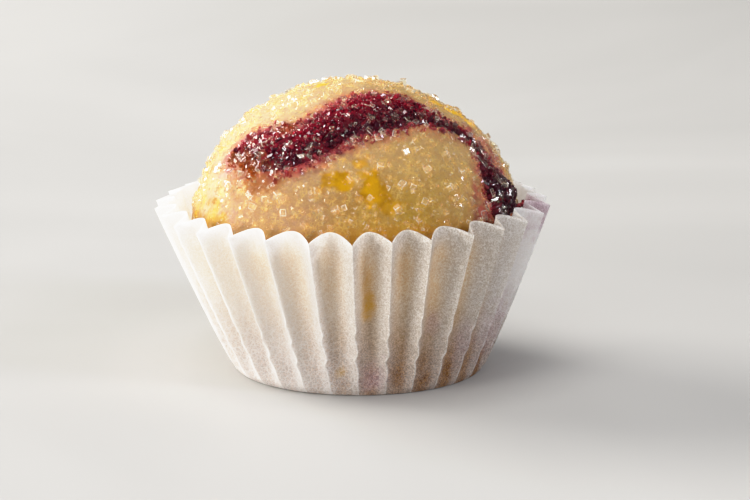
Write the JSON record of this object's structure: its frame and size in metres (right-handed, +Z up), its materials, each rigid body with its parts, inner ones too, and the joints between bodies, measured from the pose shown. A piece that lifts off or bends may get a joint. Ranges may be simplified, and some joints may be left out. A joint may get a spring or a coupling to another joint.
{
  "type": "sugared lemon sweet in a paper case",
  "caption": "Sugar-coated lemon dough ball with a ribbon of dark berry jam over its dome, sitting in a pleated white paper case.",
  "frame": {"origin": "on the surface that the case stands on, under the middle of the case's rim", "axes": "+Z up, -Y towards the viewer of the front, where the dough shows in front of the jam, and +X to that viewer's right"},
  "size_m": [0.0392, 0.0397, 0.0294],
  "materials": {
    "paper": "thin white greaseproof paper, matt, translucent, with sharp pleats",
    "dough": "moist beige dough with yellow zest, slightly translucent",
    "jam": "glossy dark purple-red jam",
    "sugar": "clear granulated sugar crystals"
  },
  "bodies": {
    "root": {"paper_case": "paper", "dough": "dough", "jam": "jam"}
  },
  "joints": []
}
